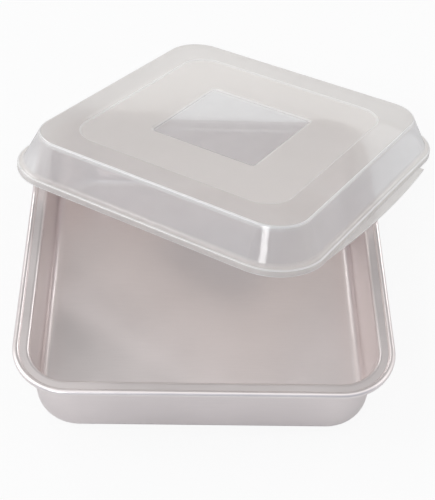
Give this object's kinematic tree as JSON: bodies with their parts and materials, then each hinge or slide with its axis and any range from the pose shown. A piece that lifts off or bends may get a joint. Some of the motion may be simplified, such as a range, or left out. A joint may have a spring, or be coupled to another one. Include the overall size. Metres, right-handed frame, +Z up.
{
  "type": "cake pan with lid",
  "caption": "Square aluminium baking pan with rounded corners and a rolled edge, and a clear domed lid lying askew over its rear rim",
  "frame": {"origin": "middle of the pan's underside, on the table", "axes": "+Z up, +X to the right and +Y away from the viewer, each square to the pan's sides"},
  "size_m": [0.3204, 0.383, 0.1116],
  "materials": {
    "pan_aluminium": "natural satin",
    "wire_steel": "drawn wire",
    "lid_plastic": "clear, with a frosted ring on top"
  },
  "bodies": {
    "root": {"pan": "pan_aluminium", "rim_wire": "wire_steel", "lid": "lid_plastic"}
  },
  "joints": []
}
